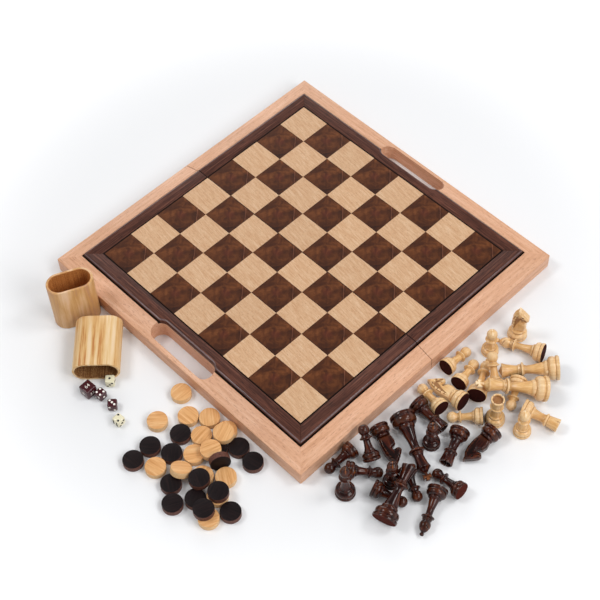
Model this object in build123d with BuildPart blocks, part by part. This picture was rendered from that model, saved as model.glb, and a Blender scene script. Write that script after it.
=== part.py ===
"""Folding games compendium: a chess and backgammon box with its chessmen, draughts, dice and cups.

The box lies open with the chessboard up. X runs across the fold, Y along it and Z up. The origin is the
middle of the fold at the level of the rims, which is also the table. All sizes are in millimetres.
"""

from build123d import *
from math import asin, atan2, cos, degrees, radians, sin
import os

os.makedirs("parts", exist_ok=True)

# ---------------------------------------------------------------- driving dimensions: playing surface
square = 38.0  # side of one chess square
veneer = 0.6  # thickness of the squares, the black line and the backgammon points
veneer_joint = 0.1  # glue line left between neighbouring veneers
line_width = 1.2  # black stringing round the chess squares
border_width = 15.3  # dark walnut lipping round the line
quirk_width = 1.5  # shadow groove between the lipping and the beech
rail_face_width = 20.0  # beech that shows round the lipping

# ---------------------------------------------------------------- driving dimensions: case
case_height = 28.0  # rims to playing surface
rail_step = 3.0  # playing surface above the beech at the quirk
rail_bevel_fall = 6.5  # how far the beech falls from the quirk to its outer face
rail_width = 32.0  # full width of a rail, with the rebate that carries the panel
rail_edge_radius = 1.2  # softened long edges of the rails
corner_radius = 2.0  # upright outer corners of the case
panel_thickness = 5.4  # plywood panel under the squares
tongue_thickness = 3.0  # edge of the panel, rebated to go under the lipping
tongue_width = 7.8  # how far that edge reaches under the lipping
lipping_radius = 2.5  # rounded outer edge of the lipping
lipping_turn = 4.0  # plan radius where the lipping turns into a handle slot
spine_thickness = 9.0  # wall of each tray beside the fold
fold_gap = 0.4  # play between the two spines
rim_gap = 0.4  # play between the two rims when the box is shut

# ---------------------------------------------------------------- driving dimensions: handle slots
slot_width = 20.5
slot_length = 90.0
handle_wall = 5.0  # beech left outside the slot
slot_edge_bevel = 1.0

# ---------------------------------------------------------------- driving dimensions: fittings
hinge_spacing = 230.0  # centre to centre of the two butt hinges
hinge_length = 24.0
leaf_width = 7.6
leaf_thickness = 1.2
knuckle_radius = 1.25
knuckle_count = 3
knuckle_gap = 0.2
knuckle_play = 0.3  # wood and leaf cut back round a turning knuckle
pin_radius = 0.6
pin_play = 0.05
screw_length = 8.0
screw_radius = 0.95
screw_head_radius = 1.8
screw_spacing = 14.0
screw_play = 0.05
magnet_radius = 4.0
magnet_thickness = 2.0
magnet_spacing = 230.0
magnet_inset = 0.1  # magnet below the rim
fitting_play = 0.05  # glue line round a magnet, a leaf or a cup bottom

# ---------------------------------------------------------------- driving dimensions: backgammon points
points_per_side = 6
point_length = 126.0
point_gap = 0.4

# ---------------------------------------------------------------- driving dimensions: loose pieces
draught_diameter = 21.5
draught_thickness = 7.0
stack_play = 0.05  # between a draught and those it lies on
cup_length = 50.0
cup_width = 28.0
cup_height = 62.0
cup_wall = 2.5
cup_bottom_thickness = 3.0
cup_rim_bevel = 0.6
die_size = 10.0
die_bevel = 1.1
doubling_cube_size = 13.0
doubling_cube_bevel = 0.5

# ---------------------------------------------------------------- driving dimensions: chessmen
# Outlines of the turned men, as radius and height from the foot upwards.
king_profile = [
    (13.5, 0), (13.5, 3.6), (11.8, 7.0), (7.4, 16.5), (4.3, 36.5), (8.2, 42.0), (8.2, 43.6),
    (5.0, 47.5), (7.6, 61.5), (2.4, 66.8),
]
queen_profile = [
    (13.0, 0), (13.0, 3.5), (11.3, 6.8), (7.2, 15.3), (4.1, 33.5), (7.8, 37.8), (7.8, 39.4),
    (4.8, 43.5), (8.0, 59.2), (1.0, 62.0),
]
bishop_profile = [
    (10.5, 0), (10.5, 3.0), (8.8, 6.2), (5.4, 13.5), (3.3, 28.5), (6.6, 32.4), (4.1, 35.6),
    (5.7, 41.0), (1.4, 48.4), (2.1, 50.2), (0.8, 52.0),
]
rook_profile = [
    (10.5, 0), (10.5, 3.0), (8.8, 6.2), (5.6, 13.0), (4.5, 22.5), (7.0, 27.0), (5.8, 29.8),
    (7.1, 40.0), (5.3, 40.0), (5.3, 37.0),
]
pawn_profile = [
    (9.3, 0), (9.3, 3.0), (4.9, 11.0), (3.4, 21.5), (6.5, 23.5), (3.7, 25.4), (5.7, 31.5),
    (2.5, 37.0),
]
knight_foot_profile = [
    (10.5, 0), (10.5, 3.0), (8.8, 6.2), (6.4, 12.0), (7.2, 13.4),
]
# Side view of the knight's head, nose towards +X, from the neck round by the mane.
knight_head_outline = [
    (-6.3, 13.0), (-7.6, 22.0), (-7.4, 31.0), (-5.6, 38.0), (-2.4, 42.5), (-1.6, 46.0), (1.2, 43.2),
    (5.0, 39.5), (9.6, 34.0), (10.0, 31.0), (7.6, 29.0), (2.6, 29.8), (1.8, 27.4), (6.6, 25.4),
    (8.0, 20.0), (6.3, 13.0),
]
knight_thickness = 9.6
cross_outline = [(1.2, 65.5), (1.2, 69.4), (4.0, 68.4), (4.0, 73.0), (1.3, 71.9), (2.0, 75.0)]
cross_thickness = 3.0
rook_slit_width = 1.2
rook_slit_depth = 2.6

# ---------------------------------------------------------------- where the loose pieces lie
# Beside the case: x is measured outwards from the face of its left handle, y along it.
light_draughts_flat = [
    (-14.0, -28.5), (-53.5, -36.5), (-27.5, -54.5), (-13.5, -71.5), (-33.5, -81.5), (-53.2, -92.0),
    (-90.0, -75.5), (-48.2, -133.6), (-63.3, -116.3), (-90.7, -154.8), (-68.0, -143.0),
    (-11.5, -95.0),
]
light_draughts_stacked = [(-18.0, -98.0), (-40.0, -103.0)]
light_draughts_leaning = [(-76.6, -97.8, 4.95, 20.0, 63.0)]
dark_draughts_flat = [
    (-47.0, -64.5), (-78.0, -53.5), (-100.5, -53.5), (-68.0, -75.0), (-16.0, -118.0),
    (-33.0, -104.0), (-17.5, -140.0), (-91.5, -100.5), (-85.5, -130.0), (-105.0, -118.0),
    (-71.0, -165.0),
]
dark_draughts_stacked = [(-70.0, -119.0), (-66.5, -143.0), (-89.5, -147.0)]
dark_draughts_leaning = [(-43.9, -121.9, 11.65, 62.0, -8.0)]
# The dice lie in front of the fallen cup: x and y are measured from the middle of its mouth.
dice_places = {
    "doubling_cube": (-17.1, -6.4, 3.0),
    "maroon_die_1": (-11.2, -19.3, 5.0),
    "maroon_die_2": (-10.8, -37.7, -43.0),
    "cream_die_1": (6.2, -13.6, 46.0),
    "cream_die_2": (-18.2, -56.4, 3.0),
}
standing_cup_place = (-24.7, 127.3, -25.0)
lying_cup_place = (-19.9, 93.7, 226.7)  # middle of its closed end, and the heading of its mouth

# ---------------------------------------------------------------- worked out from the above
field_edge = 4 * square
line_edge = field_edge + line_width
lipping_edge = line_edge + border_width
rail_edge = lipping_edge + quirk_width
outer_edge = rail_edge + rail_face_width
rail_inner = outer_edge - rail_width
tongue_edge = line_edge + tongue_width
panel_top = case_height - veneer
rail_inner_height = case_height - rail_step
rail_outer_height = rail_inner_height - rail_bevel_fall
seat_height = panel_top - panel_thickness
tongue_top = seat_height + tongue_thickness
seam = fold_gap / 2
spine_edge = seam + spine_thickness
axis_height = -rim_gap / 2
slot_centre = outer_edge - handle_wall - slot_width / 2
magnet_centre = outer_edge - rail_width / 2
knuckle_pitch = hinge_length / knuckle_count
screw_line = (leaf_width + knuckle_radius) / 2
point_pitch = (rail_inner - spine_edge) / points_per_side
mouth_x = lying_cup_place[0] + cup_height * cos(radians(lying_cup_place[2]))
mouth_y = lying_cup_place[1] + cup_height * sin(radians(lying_cup_place[2]))

sides = {"left": -1, "right": 1}
ends = {"front": -1, "back": 1}


def finish(builder, name):
    """Label a finished piece and write its STEP file."""
    builder.part.label = name
    export_step(builder.part, f"parts/{name}.step")


# ================================================================ case: rails, lippings, spines, panels
def outward_plane(direction):
    """Upright plane through the origin: local x points outwards, local y up."""
    outwards = Vector(*direction)
    return Plane(origin=(0, 0, 0), x_dir=outwards, z_dir=outwards.cross(Vector(0, 0, 1)))


def plan_between(side, end, inner, outer):
    """Plan of a mitred member: along the handle side when end is 0, else along that end from the seam."""
    if end == 0:
        return [
            (side * inner, -inner),
            (side * outer, -outer),
            (side * outer, outer),
            (side * inner, inner),
        ]
    return [
        (side * seam, end * inner),
        (side * seam, end * outer),
        (side * outer, end * outer),
        (side * inner, end * inner),
    ]


def moulding(section, side, end, inner, outer):
    """A straight moulding of the given section, mitred at the case corners and square at the seam."""
    with BuildPart() as piece:
        with BuildSketch(outward_plane((side, 0, 0) if end == 0 else (0, end, 0))):
            add(section.sketch)
        extrude(amount=outer_edge, both=True)
        with BuildSketch(Plane.XY):
            RectangleRounded(2 * outer_edge, 2 * outer_edge, corner_radius)
            with BuildLine():
                Polyline(*plan_between(side, end, inner, outer), close=True)
            make_face(mode=Mode.INTERSECT)
        extrude(amount=case_height, mode=Mode.INTERSECT)
    return piece


def handle_slot_plan(side):
    """Stadium of the handle slot, for use inside a BuildSketch."""
    with Locations((side * slot_centre, 0)):
        SlotOverall(slot_length, slot_width, rotation=90)


with BuildSketch() as rail_section:
    with BuildLine():
        Polyline(
            (outer_edge, 0),
            (outer_edge, rail_outer_height),
            (rail_edge, rail_inner_height),
            (rail_edge, seat_height),
            (rail_inner, seat_height),
            (rail_inner, 0),
            close=True,
        )
    make_face()
    fillet(rail_section.vertices().group_by(Axis.X)[-1], rail_edge_radius)
    fillet(rail_section.vertices().sort_by(Axis.Y)[-1], rail_edge_radius / 2)

with BuildSketch() as lipping_section:
    with BuildLine():
        Polyline(
            (lipping_edge, seat_height),
            (lipping_edge, case_height),
            (line_edge, case_height),
            (line_edge, tongue_top),
            (tongue_edge, tongue_top),
            (tongue_edge, seat_height),
            close=True,
        )
    make_face()

with BuildSketch() as end_lipping_section:
    add(lipping_section.sketch)
    fillet(end_lipping_section.vertices().group_by(Axis.Y)[-1].sort_by(Axis.X)[-1], lipping_radius)

for side_name, side in sides.items():
    with BuildPart() as handle_rail:
        add(moulding(rail_section, side, 0, rail_inner, outer_edge).part)
        with BuildSketch(Plane.XY):
            handle_slot_plan(side)
        extrude(amount=case_height, mode=Mode.SUBTRACT)
        slot_wall = handle_rail.edges().filter_by_position(
            Axis.Y, -slot_length / 2, slot_length / 2
        )
        chamfer(slot_wall.group_by(Axis.Z)[0], slot_edge_bevel)
        with BuildSketch(Plane.XY.offset(magnet_inset + magnet_thickness + fitting_play)):
            with GridLocations(2 * magnet_centre, magnet_spacing, 2, 2):
                Circle(magnet_radius + fitting_play)
        extrude(amount=-case_height, mode=Mode.SUBTRACT)
    finish(handle_rail, f"{side_name}_handle_rail")

    with BuildPart() as long_lipping:
        add(moulding(lipping_section, side, 0, line_edge, lipping_edge).part)
        with BuildSketch(Plane.XY) as slot_recess:
            with BuildLine():
                Polyline(*plan_between(side, 0, line_edge, lipping_edge), close=True)
            make_face()
            with BuildSketch(mode=Mode.PRIVATE) as slot_plan:
                handle_slot_plan(side)
            add(slot_plan.sketch, mode=Mode.SUBTRACT)
            turns = slot_recess.vertices().filter_by_position(
                Axis.Y, -slot_length / 2, slot_length / 2
            )
            fillet(turns.group_by(Axis.X)[0 if side < 0 else -1], lipping_turn)
        extrude(amount=case_height, mode=Mode.INTERSECT)
        top_edges = long_lipping.faces().sort_by(Axis.Z)[-1].edges()
        inner_side = top_edges.sort_by(lambda edge: abs(edge.center().X))[0]
        mitres = top_edges.filter_by(lambda edge: abs(edge.center().Y) > line_edge)
        fillet(top_edges - mitres - ShapeList([inner_side]), lipping_radius)
    finish(long_lipping, f"{side_name}_long_lipping")

    for end_name, end in ends.items():
        end_rail = moulding(rail_section, side, end, rail_inner, outer_edge)
        finish(end_rail, f"{side_name}_{end_name}_rail")
        end_lipping = moulding(end_lipping_section, side, end, line_edge, lipping_edge)
        finish(end_lipping, f"{side_name}_{end_name}_lipping")


# ================================================================ case: spines, panels, veneers
for side_name, side in sides.items():
    with BuildPart() as spine:
        with BuildSketch(Plane.XY):
            with Locations((side * (seam + spine_thickness / 2), 0)):
                Rectangle(spine_thickness, 2 * rail_inner)
        extrude(amount=seat_height)
        with Locations((0, hinge_spacing / 2, axis_height), (0, -hinge_spacing / 2, axis_height)):
            Cylinder(
                knuckle_radius + knuckle_play,
                hinge_length + 2 * knuckle_gap,
                rotation=(90, 0, 0),
                mode=Mode.SUBTRACT,
            )
        with BuildSketch(Plane.XY):
            with GridLocations(0, hinge_spacing, 1, 2):
                Rectangle(2 * (leaf_width + fitting_play), hinge_length + 2 * fitting_play)
        extrude(amount=leaf_thickness + fitting_play, mode=Mode.SUBTRACT)
        with BuildSketch(Plane.XY):
            with GridLocations(0, hinge_spacing, 1, 2):
                with Locations((side * screw_line, -screw_spacing / 2), (side * screw_line, screw_spacing / 2)):
                    Circle(screw_radius + screw_play)
        extrude(amount=screw_length + screw_play, mode=Mode.SUBTRACT)
    finish(spine, f"{side_name}_spine")

    with BuildPart() as panel:
        with BuildSketch(Plane.XY.offset(seat_height)):
            Rectangle(2 * tongue_edge, 2 * tongue_edge)
        extrude(amount=tongue_thickness)
        with BuildSketch(Plane.XY.offset(seat_height)):
            Rectangle(2 * line_edge, 2 * line_edge)
        extrude(amount=panel_thickness)
        with BuildSketch(Plane.XY.offset(seat_height)):
            with Locations((side * (seam + outer_edge / 2), 0)):
                Rectangle(outer_edge, 2 * outer_edge)
        extrude(amount=panel_thickness, mode=Mode.INTERSECT)
    finish(panel, f"{side_name}_panel")

    with BuildPart() as line:
        with BuildSketch(Plane.XY.offset(panel_top)):
            with Locations((side * (seam + line_edge) / 2, 0)):
                Rectangle(line_edge - seam, 2 * line_edge)
            Rectangle(2 * field_edge, 2 * field_edge, mode=Mode.SUBTRACT)
        extrude(amount=veneer)
    finish(line, f"{side_name}_line")

    columns = range(0, 4) if side < 0 else range(4, 8)
    for tone, parity in {"light": 0, "dark": 1}.items():
        with BuildPart() as squares:
            with BuildSketch(Plane.XY.offset(panel_top)):
                for column in columns:
                    for row in range(8):
                        if (column + row) % 2 == parity:
                            with Locations(((column - 3.5) * square, (row - 3.5) * square)):
                                Rectangle(square - veneer_joint, square - veneer_joint)
                Rectangle(fold_gap, 2 * outer_edge, mode=Mode.SUBTRACT)
            extrude(amount=veneer)
        finish(squares, f"{side_name}_{tone}_squares")

        with BuildPart() as points:
            with BuildSketch(Plane.XY.offset(seat_height - veneer)):
                for end in ends.values():
                    for index in range(points_per_side):
                        if (index + (end > 0)) % 2 == parity:
                            middle = side * (spine_edge + (index + 0.5) * point_pitch)
                            half_base = (point_pitch - point_gap) / 2
                            base_line = end * (rail_inner - point_gap)
                            with BuildLine():
                                Polyline(
                                    (middle - half_base, base_line),
                                    (middle + half_base, base_line),
                                    (middle, base_line - end * point_length),
                                    close=True,
                                )
                            make_face()
            extrude(amount=veneer)
        finish(points, f"{side_name}_{tone}_points")

# ================================================================ case: magnets and hinges
for side_name, side in sides.items():
    with BuildPart() as magnets:
        with BuildSketch(Plane.XY.offset(magnet_inset)):
            with Locations((side * magnet_centre, 0)):
                with GridLocations(0, magnet_spacing, 1, 2):
                    Circle(magnet_radius)
        extrude(amount=magnet_thickness)
    finish(magnets, f"{side_name}_magnets")

    own_knuckles = range(0 if side < 0 else 1, knuckle_count, 2)
    other_knuckles = range(1 if side < 0 else 0, knuckle_count, 2)
    with BuildPart() as leaves:
        for hinge_y in (-hinge_spacing / 2, hinge_spacing / 2):
            with BuildSketch(Plane.XY):
                with Locations((side * leaf_width / 2, hinge_y)):
                    Rectangle(leaf_width, hinge_length)
            extrude(amount=leaf_thickness)
            for knuckle in own_knuckles:
                knuckle_y = hinge_y + (knuckle - (knuckle_count - 1) / 2) * knuckle_pitch
                with Locations((0, knuckle_y, axis_height)):
                    Cylinder(knuckle_radius, knuckle_pitch - knuckle_gap, rotation=(90, 0, 0))
            for knuckle in other_knuckles:
                knuckle_y = hinge_y + (knuckle - (knuckle_count - 1) / 2) * knuckle_pitch
                with Locations((0, knuckle_y, axis_height)):
                    Cylinder(
                        knuckle_radius + knuckle_play,
                        knuckle_pitch + knuckle_gap,
                        rotation=(90, 0, 0),
                        mode=Mode.SUBTRACT,
                    )
            with Locations((0, hinge_y, axis_height)):
                Cylinder(
                    pin_radius + pin_play,
                    hinge_length + 1,
                    rotation=(90, 0, 0),
                    mode=Mode.SUBTRACT,
                )
            with Locations(Plane(origin=(side * screw_line, hinge_y, 0), z_dir=(0, 0, -1))):
                with GridLocations(0, screw_spacing, 1, 2):
                    CounterSinkHole(
                        screw_radius + screw_play,
                        screw_head_radius + screw_play,
                        depth=leaf_thickness + 1,
                        counter_sink_angle=90,
                    )
    finish(leaves, f"{side_name}_hinge_leaves")

    with BuildPart() as one_screw:
        with BuildSketch(Plane.XZ):
            with BuildLine():
                Polyline(
                    (0, screw_play),
                    (screw_head_radius - screw_play, screw_play),
                    (screw_radius, screw_head_radius - screw_radius),
                    (screw_radius, screw_length),
                    (0, screw_length),
                    close=True,
                )
            make_face()
        revolve(axis=Axis.Z)
    with BuildPart() as screws:
        with Locations((side * screw_line, 0)):
            with GridLocations(0, hinge_spacing, 1, 2):
                with GridLocations(0, screw_spacing, 1, 2):
                    add(one_screw.part)
    finish(screws, f"{side_name}_hinge_screws")

with BuildPart() as pins:
    with Locations((0, hinge_spacing / 2, axis_height), (0, -hinge_spacing / 2, axis_height)):
        Cylinder(pin_radius, hinge_length, rotation=(90, 0, 0))
finish(pins, "hinge_pins")


# ================================================================ loose pieces: placing
def resting_place(x, y, height=0.0, heading=0.0, pitch=90.0, cheek_down=1):
    """Place of a turned piece: foot centre, compass heading of its axis and how far the axis rises."""
    across = Vector(-sin(radians(heading)), cos(radians(heading)), 0) * cheek_down
    axis = Vector(
        cos(radians(heading)) * cos(radians(pitch)),
        sin(radians(heading)) * cos(radians(pitch)),
        sin(radians(pitch)),
    )
    return Plane(origin=(x, y, height), x_dir=across, z_dir=axis).location


def standing(x, y, heading=0.0):
    """Place of a piece that stands on its foot, turned so that its front faces the heading."""
    return Location((x, y, 0), (0, 0, heading))


def lying(profile, x, y, heading, cheek_down=1, raised=0.0):
    """Place of a piece that lies on the table on the rim of its foot and on its head."""
    foot_radius, foot_z = max(profile)
    dip = min(atan2(foot_radius - r, z - foot_z) for r, z in profile if z > foot_z)
    height = foot_radius * cos(dip) + foot_z * sin(dip)
    return resting_place(x, y, height + raised, heading, -degrees(dip), cheek_down)


def turned(profile):
    """A piece turned on the lathe from the points of its outline, foot first."""
    with BuildPart() as piece:
        with BuildSketch(Plane.XZ):
            with BuildLine():
                Polyline((0, 0), *profile, (0, profile[-1][1]), close=True)
            make_face()
        revolve(axis=Axis.Z)
    return piece


beside_case = Location((-outer_edge, 0, 0))
before_case = Location((0, -outer_edge, 0))

# ================================================================ loose pieces: draughts, dice and cups
light_draught_places = [
    *[standing(x, y) for x, y in light_draughts_flat],
    *[resting_place(x, y, draught_thickness + stack_play) for x, y in light_draughts_stacked],
    *[resting_place(*place) for place in light_draughts_leaning],
]
dark_draught_places = [
    *[standing(x, y) for x, y in dark_draughts_flat],
    *[resting_place(x, y, draught_thickness + stack_play) for x, y in dark_draughts_stacked],
    *[resting_place(*place) for place in dark_draughts_leaning],
]
for tone, places in {"light": light_draught_places, "dark": dark_draught_places}.items():
    with BuildPart() as draughts:
        with Locations(beside_case):
            with Locations(*places):
                Cylinder(
                    draught_diameter / 2,
                    draught_thickness,
                    align=(Align.CENTER, Align.CENTER, Align.MIN),
                )
    finish(draughts, f"{tone}_draughts")

for die_name, (x, y, turn) in dice_places.items():
    doubling = die_name == "doubling_cube"
    with BuildPart() as die:
        with Locations(beside_case):
            with Locations(standing(mouth_x + x, mouth_y + y, turn)):
                Box(
                    *[doubling_cube_size if doubling else die_size] * 3,
                    align=(Align.CENTER, Align.CENTER, Align.MIN),
                )
        chamfer(die.edges(), doubling_cube_bevel if doubling else die_bevel)
    finish(die, die_name)

cup_places = {
    "standing": standing(*standing_cup_place),
    "lying": resting_place(
        lying_cup_place[0], lying_cup_place[1], cup_width / 2, lying_cup_place[2], 0
    ),
}
for cup_name, place in cup_places.items():
    with BuildPart() as cup:
        with BuildSketch(Plane.XY):
            SlotOverall(cup_length, cup_width)
        extrude(amount=cup_height)
        with BuildSketch(Plane.XY):
            SlotOverall(cup_length - 2 * cup_wall, cup_width - 2 * cup_wall)
        extrude(amount=cup_height, mode=Mode.SUBTRACT)
        chamfer(cup.edges().group_by(Axis.Z)[-1], cup_rim_bevel)
    with BuildPart() as placed_cup:
        with Locations(beside_case):
            with Locations(place):
                add(cup.part)
    finish(placed_cup, f"{cup_name}_cup")

    with BuildPart() as bottom:
        with BuildSketch(Plane.XY):
            SlotOverall(
                cup_length - 2 * (cup_wall + fitting_play),
                cup_width - 2 * (cup_wall + fitting_play),
            )
        extrude(amount=cup_bottom_thickness)
    with BuildPart() as placed_bottom:
        with Locations(beside_case):
            with Locations(place):
                add(bottom.part)
    finish(placed_bottom, f"{cup_name}_cup_bottom")

# ================================================================ loose pieces: chessmen
with BuildPart() as king:
    add(turned(king_profile).part)
    with BuildSketch(Plane.XZ):
        with BuildLine():
            Polyline(*cross_outline, *[(-x, z) for x, z in reversed(cross_outline)], close=True)
        make_face()
    extrude(amount=cross_thickness / 2, both=True)

queen = turned(queen_profile)
bishop = turned(bishop_profile)
pawn = turned(pawn_profile)

with BuildPart() as rook:
    add(turned(rook_profile).part)
    top_z = max(z for r, z in rook_profile)
    with BuildSketch(Plane.XY.offset(top_z)):
        with PolarLocations(0, 2, angular_range=180):
            Rectangle(draught_diameter, rook_slit_width)
    extrude(amount=-rook_slit_depth, mode=Mode.SUBTRACT)

with BuildPart() as knight:
    add(turned(knight_foot_profile).part)
    with BuildSketch(Plane.XZ):
        with BuildLine():
            Polyline(*knight_head_outline, close=True)
        make_face()
    extrude(amount=knight_thickness / 2, both=True)

# A fallen knight lies on the rim of its foot and on its cheek.
knight_side_profile = [
    *knight_foot_profile,
    (knight_thickness / 2, max(z for x, z in knight_head_outline)),
]

# Before the case: y is measured outwards from its front face.
chessmen = {
    "light_king": (king, [resting_place(58.4, -105.0, 13.4, 136, 10)]),
    "light_queen": (queen, [lying(queen_profile, 87.4, -97.4, 135)]),
    "light_bishops": (
        bishop,
        [
            lying(bishop_profile, 91.2, -73.7, 110),
            lying(bishop_profile, 3.5, -58.5, 27),
        ],
    ),
    "light_knights": (
        knight,
        [standing(96.2, -35.0, -60), lying(knight_side_profile, -11.5, -54.0, 93, -1)],
    ),
    "light_rooks": (rook, [standing(0.0, -87.1), lying(rook_profile, 25.2, -101.1, -74)]),
    "light_pawns": (
        pawn,
        [
            standing(60.0, -28.4),
            standing(8.8, -115.6),
            lying(pawn_profile, 7.5, -13.0, -1),
            lying(pawn_profile, 2.0, -35.5, 11),
            lying(pawn_profile, 50.3, -75.6, -154),
            lying(pawn_profile, -9.2, -78.9, 133),
            lying(pawn_profile, -32.0, -43.0, 80),
            resting_place(26.3, -64.9, 8.0, 52, 36),
        ],
    ),
    "dark_king": (king, [lying(king_profile, -68.0, -21.5, -116)]),
    "dark_queen": (queen, [resting_place(-165.8, -89.5, 12.8, 18, 13)]),
    "dark_bishops": (
        bishop,
        [standing(-165.5, -37.5), lying(bishop_profile, -102.2, -102.4, -156)],
    ),
    "dark_knights": (
        knight,
        [
            lying(knight_side_profile, -14.4, -97.7, -179),
            lying(knight_side_profile, -93.5, -12.4, -109),
        ],
    ),
    "dark_rooks": (
        rook,
        [lying(rook_profile, -37.8, -74.1, -160), lying(rook_profile, -45.3, -20.0, -93)],
    ),
    "dark_pawns": (
        pawn,
        [
            standing(-65.6, -60.2),
            standing(-125.3, -62.0),
            lying(pawn_profile, -88.5, -120.9, 91),
            lying(pawn_profile, -128.2, -11.5, 177),
            lying(pawn_profile, -150.5, -24.0, -47),
            lying(pawn_profile, -146.1, -56.3, -71),
            lying(pawn_profile, -107.2, -64.4, -117),
            resting_place(-123.6, -33.9, 7.5, 65, 37),
        ],
    ),
}
for name, (man, places) in chessmen.items():
    with BuildPart() as men:
        with Locations(before_case):
            with Locations(*places):
                add(man.part)
    finish(men, name)
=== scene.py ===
"""A folding games compendium in beech, walnut and veneers, open with its chessboard up.

The case is two trays hinged at the fold. Beside it lie two dice cups, five dice, thirty draughts
and thirty-two turned chessmen. X runs across the fold, Y along it, Z up, the table is at zero.
"""

import math
from contextlib import contextmanager
from functools import partial

import bpy
from mathutils import Matrix, Vector


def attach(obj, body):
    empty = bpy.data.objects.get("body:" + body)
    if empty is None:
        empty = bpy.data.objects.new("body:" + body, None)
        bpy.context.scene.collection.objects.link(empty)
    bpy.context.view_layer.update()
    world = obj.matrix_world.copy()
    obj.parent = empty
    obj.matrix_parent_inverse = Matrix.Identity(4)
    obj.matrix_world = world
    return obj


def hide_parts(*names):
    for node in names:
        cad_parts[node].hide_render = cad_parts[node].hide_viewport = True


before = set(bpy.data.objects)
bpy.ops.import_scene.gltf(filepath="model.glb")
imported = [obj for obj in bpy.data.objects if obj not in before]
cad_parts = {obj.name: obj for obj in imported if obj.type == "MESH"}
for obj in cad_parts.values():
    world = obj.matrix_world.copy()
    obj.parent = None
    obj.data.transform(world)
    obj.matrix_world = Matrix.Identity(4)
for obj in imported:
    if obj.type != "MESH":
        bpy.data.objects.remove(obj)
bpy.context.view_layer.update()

# Beech rails. Each half has a handle rail with a long finger slot, mitred to two end rails. They
# are steamed beech, planed and moulded, with the edges eased by hand and a thin satin lacquer that
# leaves the short dark pores and the pinkish ground to be seen.


def linear(colour):
    """Linear RGBA of an sRGB hex colour."""
    parts = [int(colour[i : i + 2], 16) / 255 for i in (1, 3, 5)]
    return (*[c / 12.92 if c <= 0.04045 else ((c + 0.055) / 1.055) ** 2.4 for c in parts], 1.0)


def set_inputs(node, inputs):
    """Sets a node's inputs, each to a value, to a socket, or to the first output of a node."""
    for key, value in inputs.items():
        if isinstance(value, bpy.types.Node):
            value = next(output for output in value.outputs if output.enabled)
        if isinstance(value, bpy.types.NodeSocket):
            node.id_data.links.new(value, node.inputs[key])
        else:
            node.inputs[key].default_value = value


def add_node(tree, kind, inputs=None, stops=None, **settings):
    """Adds one shader node, with its settings, its inputs, and a ramp's stops."""
    node = tree.nodes.new("ShaderNode" + kind)
    for key, value in settings.items():
        setattr(node, key, value)
    set_inputs(node, inputs or {})
    if stops:
        ramp = node.color_ramp.elements
        while len(ramp) < len(stops):
            ramp.new(0.5)
        for element, (position, colour) in zip(ramp, stops):
            element.position = position
            element.color = linear(colour)
    return node


def new_material(name):
    """A new material, its shader, and add_node for its own tree."""
    material = bpy.data.materials.new(name)
    material.use_nodes = True
    tree = material.node_tree
    return material, tree.nodes["Principled BSDF"], partial(add_node, tree)


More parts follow.
